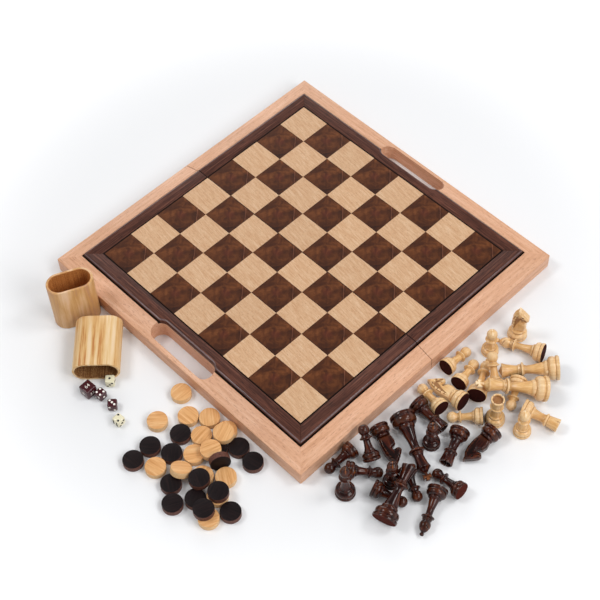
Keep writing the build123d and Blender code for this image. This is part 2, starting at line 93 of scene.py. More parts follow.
def wood(
    name, figure, pores, sizes, roughness, coat=0.0, shine=0.3, own=False, turn=(0, 0, 0),
    patch=None, edges=None,
):
    """A planed or turned wood. figure holds ramp stops for the grain, pores the colour and strength
    of the pores, and sizes the grain's width and length and the pores' width and length in
    millimetres. The grain runs along Y until turn rotates it. patch shifts the veneer a little in
    each square of that size, as it is when the squares are sawn one after another from the same
    leaves, and paints shade on it along the seam at the fold. edges holds the colour that a stain
    takes in the grooves of a turned piece, with painted shade, and the one on its rubbed edges,
    with a painted highlight, each with the bend at which it begins and the one at which it is full.
    own takes the grain from the piece's own coordinates."""
    grain_scale, pore_scale = [
        (1000 / width, 1000 / length, 1000 / width) for width, length in (sizes[:2], sizes[2:])
    ]
    material, shader, add = new_material(name)
    if own:
        place = add("Attribute", attribute_name="own_place").outputs["Vector"]
    else:
        place = add("TexCoord").outputs["Object"]
    tone = None
    if patch:
        moved = add("VectorMath", {0: place, 1: (5 * patch, 5 * patch, 0)}, operation="ADD")
        cell = add("VectorMath", {0: moved, 1: (patch, patch, 9.0)}, operation="SNAP")
        tone = add("TexWhiteNoise", {"Vector": cell}, noise_dimensions="3D")
        slipped = add(
            "VectorMath", {0: tone.outputs["Color"], 1: (0.2, 0.2, 0)}, operation="MULTIPLY"
        )
        place = add("VectorMath", {0: place, 1: slipped}, operation="ADD")
    turned = add("Mapping", {"Vector": place, "Rotation": turn})
    grain = add(
        "TexNoise",
        {
            "Vector": add("Mapping", {"Vector": turned, "Scale": grain_scale}),
            "Scale": 1.0, "Detail": 5.0, "Roughness": 0.6, "Distortion": 0.4,
        },
    )
    colour = add("ValToRGB", {"Fac": grain}, stops=figure)
    pore_place = add("Mapping", {"Vector": turned, "Scale": pore_scale})
    pore = add("TexNoise", {"Vector": pore_place, "Scale": 1.0, "Detail": 2.0})
    pore_mask = add(
        "MapRange", {"Value": pore, "From Min": 0.56, "From Max": 0.70, "To Max": pores[1]}
    )
    darker = add("Mix", {"Factor": pore_mask, "A": colour, "B": linear(pores[0])}, data_type="RGBA")
    broad = add("TexNoise", {"Vector": turned, "Scale": 14.0, "Detail": 1.0})
    spread = 0.03 if patch else 0.1
    shade = add("MapRange", {"Value": tone or broad, "To Min": 1 - spread, "To Max": 1 + spread})
    final = add("HueSaturation", {"Color": darker, "Value": shade})
    relief = add(
        "Bump", {"Height": pore_mask, "Strength": 0.015 if coat else 0.3, "Distance": 0.0001},
        invert=True,
    )
    if patch:
        # Painted shade along the seam at the fold.
        way = add("SeparateXYZ", {"Vector": add("TexCoord").outputs["Object"]})
        at_fold = add("Math", {0: way.outputs["X"], 1: 0.0, 2: 0.00055}, operation="COMPARE")
        seam_shade = linear("#2E1A12")
        final = add("Mix", {"Factor": at_fold, "A": final, "B": seam_shade}, data_type="RGBA")
    if edges:
        # Darker in the grooves and paler on the edges: partly stain and wear, partly painted shade
        # and painted highlight.
        bend = add("NewGeometry").outputs["Pointiness"]
        for tint, low, high in edges:
            much = add(
                "MapRange", {"Value": bend, "From Min": low, "From Max": high, "To Max": 0.75}
            )
            final = add("Mix", {"Factor": much, "A": final, "B": linear(tint)}, data_type="RGBA")
    set_inputs(
        shader,
        {
            "Base Color": final, "Normal": relief, "Roughness": roughness,
            "Specular IOR Level": shine, "Coat Weight": coat, "Coat Roughness": 0.06,
        },
    )
    return material


def linked(name, data):
    """A new object of that name, in the scene."""
    new = bpy.data.objects.new(name, data)
    bpy.context.scene.collection.objects.link(new)
    return new


def pick(*pieces):
    """Selects these pieces alone and makes the first one active."""
    bpy.ops.object.select_all(action="DESELECT")
    for piece in pieces:
        piece.select_set(True)
    bpy.context.view_layer.objects.active = pieces[0]


@contextmanager
def editing(action="SELECT"):
    """Edit mode on the active piece, with all of it selected, or nothing, or what was before."""
    bpy.ops.object.mode_set(mode="EDIT")
    if action:
        bpy.ops.mesh.select_all(action=action)
    yield
    bpy.ops.object.mode_set(mode="OBJECT")


def bevelled(piece, width, segments=3, degrees=60):
    """Bevels the active piece's arrises that are sharper than so many degrees, by width in mm."""
    bevel = piece.modifiers.new("bevelled arrises", "BEVEL")
    bevel.width = width / 1000
    bevel.segments = segments
    bevel.limit_method = "ANGLE"
    bevel.angle_limit = math.radians(degrees)
    bpy.ops.object.modifier_apply(modifier=bevel.name)


def reach(place):
    """How far out from the board's middle a point is, square to the sides."""
    return max(abs(place.x), abs(place.y))


def refinish_faces(piece, chosen, finish=None):
    """Gives faces chosen by middle and normal another finish, painted black shade unless named."""
    finish = finish or painted_groove_shade
    if finish.name not in piece.data.materials:
        piece.data.materials.append(finish)
    for face in piece.data.polygons:
        if chosen(face.center, face.normal):
            face.material_index = piece.data.materials.find(finish.name)


def eased(name, width, material):
    """A machined piece of the case, its flat faces made whole and its edges eased by width in mm.
    The arrises that meet at the fold are painted dark, as shade in the seam."""
    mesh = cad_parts[name].data.copy()
    mesh.materials.clear()
    mesh.materials.append(material)
    piece = linked(name + "_piece", mesh)
    pick(piece)
    with editing():
        bpy.ops.mesh.remove_doubles(threshold=0.000002)
        bpy.ops.mesh.dissolve_limited(angle_limit=math.radians(0.5))
    bevelled(piece, width, degrees=35)
    # Painted shade: the arrises beside the fold's seam are painted dark.
    refinish_faces(piece, lambda place, way: abs(place.x) < 0.0009 and 0.1 < abs(way.x) < 0.98)
    bpy.ops.object.shade_smooth_by_angle(angle=math.radians(30))
    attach(piece, name.split("_")[0] + "_tray")
    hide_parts(name)
    return piece


QUARTER, RAIL_EDGE, SEAT, HAIR = math.radians(90), 0.170, 0.022, 0.0002
beech = (
    [(0.30, "#CA9673"), (0.50, "#D7A584"), (0.72, "#E2B799")],
    ("#93593A", 0.5), (3.0, 55, 0.65, 5.0), 0.42,
)
beech_lengthwise = wood("Steamed beech, satin lacquer, grain along the fold", *beech)
beech_crosswise = wood(
    "Steamed beech, satin lacquer, grain across the fold", *beech, turn=(0, 0, QUARTER)
)
# The quirk and the arrises at the fold are painted nearly black and dull, as the shade in them.
painted_groove_shade = wood(
    "Black-brown painted shade in the grooves", [(0.3, "#1A0F0C"), (0.7, "#2A1914")], ("#0C0706", 0.4),
    (1.5, 40, 0.5, 6), 0.6, shine=0.2,
)
for side in ("left", "right"):
    handle_rail = eased(side + "_handle_rail", 0.5, beech_lengthwise)
    rails = [handle_rail]
    for end in ("front", "back"):
        rails.append(eased(f"{side}_{end}_rail", 0.35, beech_crosswise))
    for rail in rails:
        # Painted shade: the quirk's floor and walls beside the lipping are painted nearly black.
        refinish_faces(
            rail,
            lambda place, way: place.z > SEAT - HAIR
            and reach(place) < RAIL_EDGE + HAIR
            and (way.z > 0.9 or abs(way.z) < 0.1),
        )

# Walnut lippings. A flat dark band frames the board, mitred at the corners; the long piece gives
# way round the finger slot. Open-grained walnut, so the grain shows as long dark streaks.

LIPPING_INSIDE, LIPPING_OUTSIDE, BOARD_TOP = 0.1532, 0.1685, 0.028
walnut = (
    [(0.28, "#2C1711"), (0.46, "#4B291F"), (0.62, "#633B2E"), (0.80, "#835949")],
    ("#170D0B", 0.85), (1.5, 45, 0.7, 10), 0.45,
)
walnut_lengthwise = wood("Walnut, satin lacquer, grain along the fold", *walnut, shine=0.2)
walnut_crosswise = wood(
    "Walnut, satin lacquer, grain across the fold", *walnut, shine=0.2, turn=(0, 0, QUARTER)
)
# The outer arris is painted pale, as a painted sheen, and is a little glossier than the flats. The
# mitres and the fold are left, and painted black shade lies along the lipping's foot and on the
# arris by the squares.
walnut_arris_sheen = wood(
    "Walnut arris, painted pale sheen", [(0.30, "#46302D"), (0.50, "#5E4645"), (0.70, "#786260")],
    ("#2B1A17", 0.7), (1.5, 45, 0.7, 10), 0.3, shine=0.4,
)
for side in ("left", "right"):
    lippings = [eased(side + "_long_lipping", 0.4, walnut_lengthwise)]
    for end in ("front", "back"):
        lippings.append(eased(f"{side}_{end}_lipping", 0.4, walnut_crosswise))
    for lipping in lippings:
        # Painted sheen: the outer arris is painted pale.
        refinish_faces(
            lipping,
            lambda place, way: place.z > BOARD_TOP - 0.0011
            and reach(place) > LIPPING_INSIDE + 0.001
            and 0.3 < way.z < 0.97
            and min(abs(place.x), abs(abs(place.x) - abs(place.y))) > 0.0008,
            walnut_arris_sheen,
        )
        # Painted shade: the arris by the squares and the lipping's foot are painted black.
        refinish_faces(
            lipping,
            lambda place, way: (reach(place) < LIPPING_INSIDE + 0.0006 and 0.05 < way.z < 0.97)
            or (
                place.z < SEAT + 0.0025
                and reach(place) > LIPPING_OUTSIDE - 0.0005
                and abs(way.z) < 0.6
            ),
        )

# Stringing and veneers. The squares are sawn veneers laid on plywood: pale ones straight-grained,
# dark ones cut from a burl, with a black dyed line round them. All are sanded flush under one
# lacquer.

SQUARE = 0.038
# The line is dyed through, with next to no shine, and the pale veneer has fine straight lines.
black_line = wood(
    "Black dyed stringing", [(0.3, "#120906"), (0.7, "#1C100A")], ("#080403", 0.3), (1, 30, 0.5, 6),
    0.6, shine=0.05,
)
pale_veneer = wood(
    "Pale straight-grained veneer, satin lacquer",
    [(0.30, "#BF926B"), (0.50, "#CCA47F"), (0.70, "#D8B694")],
    ("#946A46", 0.55), (1.3, 13, 0.5, 2.8), 0.45, turn=(0, 0, math.radians(8)), patch=SQUARE,
)
# Each square is a soft cloud round a reddish eye, darker towards the near corner, with one pale
# streak cornerwise, and drifts a little from its neighbour as the leaf does.
burl_veneer, shader, add = new_material("Dark burl veneer, satin lacquer")
cells = add(
    "VectorMath", {0: add("TexCoord").outputs["Object"], 1: (1 / SQUARE, 1 / SQUARE, 0)},
    operation="MULTIPLY",
)
local = add("VectorMath", {0: cells}, operation="FRACTION")
drift = add("TexNoise", {"Vector": cells, "Scale": 0.8, "Detail": 1.0})
warp = add("TexNoise", {"Vector": local, "Scale": 2.4, "Detail": 3.0})
moved = local
for push, much in ((drift, 0.22), (warp, 0.55)):
    moved = add(
        "VectorMath", {0: push.outputs["Color"], 1: (much, much, 0), 2: moved},
        operation="MULTIPLY_ADD",
    )
clouds = add(
    "TexNoise",
    {"Vector": moved, "Scale": 2.6, "Detail": 6.0, "Roughness": 0.6, "Distortion": 0.6},
)
ring_middle = add("Mapping", {"Vector": moved, "Location": (-0.88, -0.88, 0)})
rings = add(
    "TexWave",
    {"Vector": ring_middle, "Scale": 1.7, "Distortion": 5.0, "Detail": 3.0, "Detail Scale": 1.6},
    wave_type="RINGS", rings_direction="Z",
)
way = add("SeparateXYZ", {"Vector": local}).outputs
depth = add("Math", {0: way["X"], 1: way["Y"]}, operation="ADD")
across = add("Math", {0: way["X"], 1: way["Y"]}, operation="SUBTRACT")
lines = add("TexNoise", {"W": across, "Scale": 9.0, "Detail": 2.0}, noise_dimensions="1D")
tone = add("Math", {0: clouds, 1: 0.9, 2: -0.13}, operation="MULTIPLY_ADD")
for part, much in ((rings.outputs["Fac"], 0.07), (lines, 0.12), (depth, 0.10)):
    tone = add("Math", {0: part, 1: much, 2: tone}, operation="MULTIPLY_ADD")
final = add(
    "ValToRGB", {"Fac": tone},
    stops=[(0.30, "#30180F"), (0.46, "#472514"), (0.60, "#5B321A"), (0.76, "#794727")],
)
MIDDLE = (0.5, 0.5, 0)
eye = add(
    "MapRange",
    {
        "Value": add("VectorMath", {0: local, 1: MIDDLE}, operation="DISTANCE"),
        "From Min": 0.2, "From Max": 0.05, "To Max": 0.22,
    },
    interpolation_type="SMOOTHSTEP",
)
wavering = add("Math", {0: warp, 1: 0.1, 2: across}, operation="MULTIPLY_ADD")
streak = add("Math", {0: wavering, 1: 0.69, 2: 0.012}, operation="COMPARE")
from_middle = add("VectorMath", {0: local, 1: MIDDLE}, operation="SUBTRACT")
sides = add("SeparateXYZ", {"Vector": add("VectorMath", {0: from_middle}, operation="ABSOLUTE")})
outermost = add("Math", {0: sides.outputs["X"], 1: sides.outputs["Y"]}, operation="MAXIMUM")
rim = add("MapRange", {"Value": outermost, "From Min": 0.484, "From Max": 0.492, "To Max": 0.6})
faint = add("Math", {0: streak, 1: clouds}, operation="MULTIPLY")
for mask, tint in ((eye, "#6B2D26"), (faint, "#96604A"), (rim, "#2E1710")):
    final = add("Mix", {"Factor": mask, "A": final, "B": linear(tint)}, data_type="RGBA")
set_inputs(shader, {"Base Color": final, "Roughness": 0.45, "Specular IOR Level": 0.15})
for side in ("left", "right"):
    for part, veneer in (
        ("line", black_line), ("light_squares", pale_veneer), ("dark_squares", burl_veneer),
    ):
        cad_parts[f"{side}_{part}"].data.materials[0] = veneer

# Insides of the trays. A birch plywood panel carries the squares, a beech wall closes each tray at
# the fold, and long backgammon points in the same two veneers are laid on the panel's inner face.

# Sanded birch is pale and plain, and each point shows the long grain of its own strip.
birch_plywood = wood(
    "Birch plywood, sanded", [(0.3, "#C9A677"), (0.6, "#D8BA8D"), (0.8, "#E2C89F")],
    ("#A98556", 0.4), (5, 80, 0.8, 8), 0.5,
)
pale_points = wood(
    "Pale veneer for the points", [(0.30, "#D3AE80"), (0.50, "#DDBB8F"), (0.70, "#E4C59C")],
    ("#B98F62", 0.5), (1.5, 60, 0.5, 7), 0.4,
)
dark_points = wood(
    "Dark veneer for the points", [(0.30, "#3F261C"), (0.55, "#583526"), (0.75, "#6B432E")],
    ("#2C1B15", 0.6), (2.5, 50, 0.7, 6), 0.4,
)
for side in ("left", "right"):
    for part, finish in (
        ("panel", birch_plywood), ("light_points", pale_points), ("dark_points", dark_points),
    ):
        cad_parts[f"{side}_{part}"].data.materials[0] = finish
    eased(side + "_spine", 0.3, beech_lengthwise)

# Fittings. Two small drawn-brass butt hinges are let into the rims beside the fold, each leaf held
# by two countersunk screws, and nickel-plated disc magnets sit in the handle rails' rims.


def metal(name, colour, roughness, drawn):
    """A bright metal with the faint lines that drawing leaves along Y, so many to a millimetre."""
    material, shader, add = new_material(name)
    place = add("TexCoord").outputs["Object"]
    stretched = add("Mapping", {"Vector": place, "Scale": (1000 * drawn, 60, 1000 * drawn)})
    lines = add("TexNoise", {"Vector": stretched, "Scale": 1.0})
    dull = add("MapRange", {"Value": lines, "To Min": roughness - 0.08, "To Max": roughness + 0.12})
    relief = add("Bump", {"Height": lines, "Strength": 0.1, "Distance": 0.00002})
    set_inputs(
        shader,
        {"Base Color": linear(colour), "Metallic": 1.0, "Roughness": dull, "Normal": relief},
    )
    return material


drawn_brass = metal("Drawn brass, polished", "#D9B46A", 0.28, 3)
nickel_plate = metal("Nickel plate", "#C9C8C4", 0.22, 4)
for side in ("left", "right"):
    eased(side + "_hinge_leaves", 0.08, drawn_brass)
    eased(side + "_magnets", 0.2, nickel_plate)
    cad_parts[side + "_hinge_screws"].data.materials[0] = drawn_brass
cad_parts["hinge_pins"].data.materials[0] = drawn_brass

# Dice cups. Each is a stadium-shaped tube built up from staves of different timbers glued side by
# side, with a bottom let in, a narrow pale bevel round the mouth and an open-pored, waxed face.


def striped_wood(name, strips, stave, seed, shaded_hollow):
    """Staves of several timbers glued into one blank and bored thin: strips is the ramp that their
    colours come from, stave their mean width in mm, and the last ramp the hollow's colours,
    mottled and painted darker than the staves as shade inside the cup."""
    material, shader, add = new_material(name)
    place = add("Attribute", attribute_name="own_place").outputs["Vector"]
    seeded = add("VectorMath", {0: place, 1: (seed, seed * 1.7, 0)}, operation="ADD")
    layers = []
    for scale, detail in (
        ((1000 / stave, 1000 / stave, 7), 2.0), ((900, 900, 28), 5.0), ((260, 260, 60), 3.0),
    ):
        stretched = add("Mapping", {"Vector": seeded, "Scale": scale})
        layers.append(
            add("TexNoise", {"Vector": stretched, "Scale": 1.0, "Detail": detail, "Roughness": 0.6})
        )
    staves, grain, clouds = layers
    tone = add("Math", {0: grain, 1: 0.30, 2: staves}, operation="MULTIPLY_ADD")
    tone = add("Math", {0: clouds, 1: 0.22, 2: tone}, operation="MULTIPLY_ADD")
    levelled = add("Math", {0: tone, 1: 0.26}, operation="SUBTRACT")
    colour = add("ValToRGB", {"Fac": levelled}, stops=strips)
    inside = add("Attribute", attribute_name="inside").outputs["Fac"]
    speckled = add("TexNoise", {"Vector": place, "Scale": 900.0, "Detail": 2.0})
    mottle = add("Mix", {"Factor": 0.5, "A": grain, "B": speckled})
    # Painted shade: the hollow's ramp is darker than the staves'.
    hollow = add("ValToRGB", {"Fac": mottle}, stops=shaded_hollow)
    final = add("Mix", {"Factor": inside, "A": colour, "B": hollow}, data_type="RGBA")
    relief = add("Bump", {"Height": grain, "Strength": 0.2, "Distance": 0.0001})
    set_inputs(
        shader,
        {"Base Color": final, "Normal": relief, "Roughness": 0.42, "Specular IOR Level": 0.35},
    )
    return material


def begun(name, material):
    """The primitive that was added last, with its name and material."""
    piece = bpy.context.object
    piece.name = name
    piece.data.materials.append(material)
    return piece


def settled(piece, place, seed=0.0):
    """Moves a modelled piece's mesh to its place, keeping its own coordinates for the grain."""
    own = piece.data.attributes.new("own_place", "FLOAT_VECTOR", "POINT")
    for vertex, value in zip(piece.data.vertices, own.data):
        value.vector = vertex.co + Vector((seed, seed * 0.7, seed * 1.3))
    piece.data.transform(place)


def place_of(x, y, height=0.0, heading=0.0, pitch=90.0, cheek_down=1):
    """Place of a turned piece, in mm: its foot's centre, its axis's heading and how that rises."""
    h, p = math.radians(heading), math.radians(pitch)
    axis = Vector((math.cos(h) * math.cos(p), math.sin(h) * math.cos(p), math.sin(p)))
    across = Vector((-math.sin(h), math.cos(h), 0)) * cheek_down
    turn = Matrix((across, axis.cross(across), axis)).transposed().to_4x4()
    return Matrix.Translation((x / 1000, y / 1000, height / 1000)) @ turn


def upright(x, y, heading=0.0):
    """Place of a piece that stands on its foot, in mm, its front turned to the heading."""
    turn = Matrix.Rotation(math.radians(heading), 4, "Z")
    return Matrix.Translation((x / 1000, y / 1000, 0)) @ turn


CASE_EDGE = 0.190
BESIDE_CASE = Matrix.Translation((-CASE_EDGE, 0, 0))
CUP_LENGTH, CUP_WIDTH, CUP_HEIGHT, CUP_WALL, CUP_BOTTOM = 0.050, 0.028, 0.062, 0.0029, 0.003
# Each stave keeps its own timber's colour. The hollow is mottled from the cutter and painted
# darker, as shade inside the cup.
standing_cup_wood = striped_wood(
    "Laminated beech, maple and cherry, waxed",
    [(0.34, "#BE8D66"), (0.44, "#CB9A5E"), (0.55, "#D9AF80"), (0.68, "#E2BE9A")],
    13, 0.3, [(0.38, "#96592B"), (0.5, "#B27039"), (0.62, "#CB8D50")],
)
lying_cup_wood = striped_wood(
    "Laminated maple and padauk, waxed",
    [(0.33, "#BC7C42"), (0.40, "#D0A064"), (0.48, "#DCB47C"), (0.58, "#E2C292"), (0.70, "#E8CCA6")],
    4.5, 1.1, [(0.36, "#5A371B"), (0.5, "#8C5E35"), (0.64, "#C99C68")],
)
CUPS = {
    "standing_cup": (upright(-24.7, 127.3, -25.0), standing_cup_wood, 0.2),
    "lying_cup": (place_of(-19.9, 93.7, 14.0, 226.7, 0), lying_cup_wood, 0.5),
}
for name, (place, cup_wood, seed) in CUPS.items():
    bpy.ops.mesh.primitive_cube_add(size=1)
    cup = begun(name + "_staves", cup_wood)
    with editing():
        sides = (CUP_LENGTH, CUP_WIDTH, CUP_HEIGHT)
        bpy.ops.transform.resize(value=sides, center_override=(0, 0, 0))
        bpy.ops.transform.translate(value=(0, 0, CUP_HEIGHT / 2))
        bpy.ops.mesh.select_mode(type="EDGE")
        bpy.ops.mesh.select_all(action="DESELECT")
    for edge in cup.data.edges:
        start, end = (cup.data.vertices[v].co.z for v in edge.vertices)
        edge.select = abs(start - end) > 0.01
    with editing(None):
        bpy.ops.mesh.bevel(offset=CUP_WIDTH / 2 - 0.00002, segments=20, affect="EDGES")
        bpy.ops.mesh.select_all(action="SELECT")
        bpy.ops.mesh.remove_doubles(threshold=0.0001)
        bpy.ops.mesh.select_mode(type="FACE")
        bpy.ops.mesh.select_all(action="DESELECT")
    for face in cup.data.polygons:
        face.select = face.normal.z > 0.9
    with editing(None):
        bpy.ops.mesh.inset(thickness=CUP_WALL)
        down = (0, 0, CUP_BOTTOM - CUP_HEIGHT)
        bpy.ops.mesh.extrude_region_move(TRANSFORM_OT_translate={"value": down})
        bpy.ops.mesh.select_all(action="SELECT")
        bpy.ops.mesh.normals_make_consistent(inside=False)
    bevelled(cup, 0.6, segments=2)
    hollow = cup.data.attributes.new("inside", "FLOAT", "FACE")
    for face, value in zip(cup.data.polygons, hollow.data):
        x, y, z = face.center
        out = math.hypot(max(abs(x) - (CUP_LENGTH - CUP_WIDTH) / 2, 0), y)
        value.value = float(out < CUP_WIDTH / 2 - 0.0018 and z > CUP_BOTTOM - 0.001)
    bpy.ops.object.shade_smooth_by_angle(angle=math.radians(30))
    settled(cup, BESIDE_CASE @ place, seed)
    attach(cup, name)
    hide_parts(name, name + "_bottom")

# Dice. Cast acrylic cubes with rounded edges and drilled, painted pips: two maroon, two cream, and
# a larger maroon doubling cube whose numbers are engraved and filled white.


def plain_material(name, colour, roughness, coat=0.0, mottle=0.0):
    """A smooth plastic or paint of one colour, its gloss faintly uneven as handling leaves it."""
    material, shader, add = new_material(name)
    place = add("TexCoord").outputs["Object"]
    smear = add("TexNoise", {"Vector": place, "Scale": 260.0, "Detail": 3.0})
    low, high = roughness - 0.05, roughness + 0.07
    gloss = add("MapRange", {"Value": smear, "To Min": low, "To Max": high})
    shade = add("MapRange", {"Value": smear, "To Min": 1 - mottle, "To Max": 1 + mottle})
    set_inputs(
        shader,
        {
            "Base Color": add("HueSaturation", {"Color": linear(colour), "Value": shade}),
            "Roughness": gloss, "Coat Weight": coat, "IOR": 1.49,
            "Specular IOR Level": 0.5 if roughness < 0.8 else 0.1,
        },
    )
    return material


# Polished acrylic gives small sharp highlights, and the paint in the pips is duller.
maroon_acrylic = plain_material("Maroon acrylic", "#420A15", 0.16, coat=0.2, mottle=0.1)
cream_acrylic = plain_material("Cream acrylic", "#E9E2C2", 0.18, coat=0.3, mottle=0.03)
white_fill = plain_material("White pip paint", "#F4F0EA", 0.45)
black_fill = plain_material("Black pip paint", "#15110F", 0.45)

# Pip places of each number on one face, as fractions of the half width.
PIPS = {
    1: [(0, 0)],
    2: [(-0.5, 0.5), (0.5, -0.5)],
    3: [(-0.5, 0.5), (0, 0), (0.5, -0.5)],
    4: [(-0.5, -0.5), (0.5, 0.5), (-0.5, 0.5), (0.5, -0.5)],
    5: [(-0.5, -0.5), (0.5, 0.5), (-0.5, 0.5), (0.5, -0.5), (0, 0)],
    6: [(-0.5, y) for y in (-0.5, 0, 0.5)] + [(0.5, y) for y in (-0.5, 0, 0.5)],
}


def rounded_cube(name, size, radius, material):
    """A cube of size in metres, standing at the origin, its edges rounded by radius in mm."""
    bpy.ops.mesh.primitive_cube_add(size=size)
    cube = begun(name, material)
    bevelled(cube, radius, segments=5, degrees=30)
    cube.data.transform(Matrix.Translation((0, 0, size / 2)))
    return cube


def face_turns(size, top, front, right):
    """Number and turn of each of a die's six faces, from the numbers on three of them."""
    centre = Matrix.Translation((0, 0, size / 2))
    turns = {
        top: Matrix.Identity(4),
        7 - top: Matrix.Rotation(math.pi, 4, "X"),
        front: Matrix.Rotation(math.pi / 2, 4, "X"),
        7 - front: Matrix.Rotation(-math.pi / 2, 4, "X"),
        right: Matrix.Rotation(math.pi / 2, 4, "Y"),
        7 - right: Matrix.Rotation(-math.pi / 2, 4, "Y"),
    }
    return {n: centre @ turn @ Matrix.Translation((0, 0, size / 2)) for n, turn in turns.items()}


def cut_with(piece, cutter):
    """Cuts one piece away from another, the cut faces keeping the cutter's material."""
    cut = piece.modifiers.new("cut", "BOOLEAN")
    cut.operation = "DIFFERENCE"
    cut.solver = "EXACT"
    cut.material_mode = "TRANSFER"
    cut.object = cutter
    pick(piece)
    bpy.ops.object.modifier_apply(modifier=cut.name)
    bpy.data.objects.remove(cutter)


def joined(*pieces):
    """Several modelled parts made one object, the first one."""
    pick(*pieces)
    bpy.ops.object.join()
    return pieces[0]


DIE, DOUBLING, PIP_RADIUS, PIP_RISE = 0.010, 0.013, 0.0014, 0.0006


def die(name, place, material, fill, top, front, right):
    """One 10 mm die with its pips drilled as shallow bowls."""
    piece = rounded_cube(name + "_cube", DIE, 1.9, material)
    bowls = []
    for number, turn in face_turns(DIE, top, front, right).items():
        for x, y in PIPS[number]:
            bpy.ops.mesh.primitive_uv_sphere_add(segments=20, ring_count=10, radius=PIP_RADIUS)
            bowls.append(begun("pip", fill))
            pip_place = Matrix.Translation((x * DIE / 2, y * DIE / 2, PIP_RISE))
            bowls[-1].data.transform(turn @ pip_place)
    cut_with(piece, joined(*bowls))
    bpy.ops.object.shade_smooth_by_angle(angle=math.radians(35))
    settled(piece, BESIDE_CASE @ place)
    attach(piece, name)
    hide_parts(name)


die("maroon_die_1", upright(-73.6, 29.3, 5), maroon_acrylic, white_fill, 4, 1, 5)
die("maroon_die_2", upright(-73.2, 10.9, -43), maroon_acrylic, white_fill, 3, 2, 1)
die("cream_die_1", upright(-56.2, 35.0, 46), cream_acrylic, black_fill, 1, 2, 4)
die("cream_die_2", upright(-80.6, -7.8, 93), cream_acrylic, black_fill, 2, 1, 4)

doubling = rounded_cube("doubling_cube_block", DOUBLING, 1.3, maroon_acrylic)
# The number on each face of the doubling cube, its faces counted as a die's.
numbers = {1: "64", 2: "32", 3: "16", 4: "8", 5: "4", 6: "2"}
for face, turn in face_turns(DOUBLING, 1, 2, 3).items():
    text = bpy.data.curves.new("number", "FONT")
    text.body = numbers[face]
    text.size = 0.0058
    text.align_x = text.align_y = "CENTER"
    text.extrude = 0.0003
    pick(linked("number", text))
    bpy.ops.object.convert(target="MESH")
    number = bpy.context.object
    number.data.materials.clear()
    number.data.materials.append(white_fill)
    number.data.transform(turn)
    with editing():
        bpy.ops.mesh.remove_doubles(threshold=0.000001)
    cut_with(doubling, number)
bpy.ops.object.shade_smooth_by_angle(angle=math.radians(35))
settled(doubling, BESIDE_CASE @ upright(-79.5, 42.2, 3))
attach(doubling, "doubling_cube")
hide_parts("doubling_cube")

# Draughts. Plain turned discs of boxwood and of stained wood, their arrises rounded, the grain
# running across each one in its own direction as it happened to be dropped.

# Wax leaves the boxwood warm and soft in sheen, and the black stain wears thin on the turned side.
light_disc_wood = wood(
    "Boxwood discs, waxed", [(0.32, "#C98D52"), (0.50, "#DCA56C"), (0.68, "#E6B884")],
    ("#B67C40", 0.3), (2.2, 34, 0.5, 5), 0.45, own=True,
)
light_disc_side = wood(
    "Boxwood discs, turned side", [(0.35, "#D9AA74"), (0.65, "#EBC898")],
    ("#C08C54", 0.3), (0.8, 12, 0.4, 3), 0.5, own=True,
)
dark_disc_wood = wood(
    "Stained wood discs, waxed", [(0.30, "#0E0809"), (0.50, "#170E10"), (0.75, "#281A19")],
    ("#0A0607", 0.5), (1.1, 26, 0.4, 4), 0.42, shine=0.15, own=True,
)
dark_disc_side = wood(
    "Stained wood discs, turned side", [(0.32, "#40241E"), (0.52, "#613B31"), (0.70, "#825642")],
    ("#22120F", 0.6), (0.7, 10, 0.5, 3), 0.5, shine=0.2, own=True,
)
DRAUGHT_RADIUS, DRAUGHT_HEIGHT = 0.01075, 0.007
DRAUGHTS = {
    "light_draughts": (
        (light_disc_wood, light_disc_side),
        "light_draught_wood",
        [
            (-14, -28.5), (-53.5, -36.5), (-27.5, -54.5), (-13.5, -71.5), (-33.5, -81.5),
            (-53.2, -92), (-90, -75.5), (-48.2, -133.6), (-63.3, -116.3), (-90.7, -154.8),
            (-68, -143), (-11.5, -95), (-18, -98, 7.05), (-40, -103, 7.05),
            (-76.6, -97.8, 4.95, 20, 63),
        ],
    ),
    "dark_draughts": (
        (dark_disc_wood, dark_disc_side),
        "dark_draught_wood",
        [
            (-47, -64.5), (-78, -53.5), (-100.5, -53.5), (-68, -75), (-16, -118),
            (-33, -104), (-17.5, -140), (-91.5, -100.5), (-85.5, -130), (-105, -118),
            (-71, -165), (-70, -119, 7.05), (-66.5, -143, 7.05), (-89.5, -147, 7.05),
            (-43.9, -121.9, 11.65, 62, -8),
        ],
    ),
}
for name, ((face_wood, side_wood), slot_name, places) in DRAUGHTS.items():
    bpy.ops.mesh.primitive_cylinder_add(vertices=56, radius=DRAUGHT_RADIUS, depth=DRAUGHT_HEIGHT)
    model = begun("draught", face_wood)
    model.data.materials.append(side_wood)
    model.data.transform(Matrix.Translation((0, 0, DRAUGHT_HEIGHT / 2)))
    bevelled(model, 0.35)
    for face in model.data.polygons:
        face.material_index = int(abs(face.normal.z) < 0.6)
    bpy.ops.object.shade_smooth_by_angle(angle=math.radians(30))
    for index, disc_place in enumerate(places):
        disc = linked(f"{name}_{index + 1}", model.data.copy())
        turn = Matrix.Rotation(math.radians(137 * index), 4, "Z")
        settled(disc, BESIDE_CASE @ place_of(*disc_place) @ turn, 0.013 * (index + 1))
        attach(disc, "draughts")
        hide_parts(name)
    bpy.data.objects.remove(model)

# Chessmen. Turned in boxwood and in stained wood, the knights' heads carved and pegged on, the feet
# covered with maroon baize. Each kind is turned once and copied, as a turner works from one
# pattern.


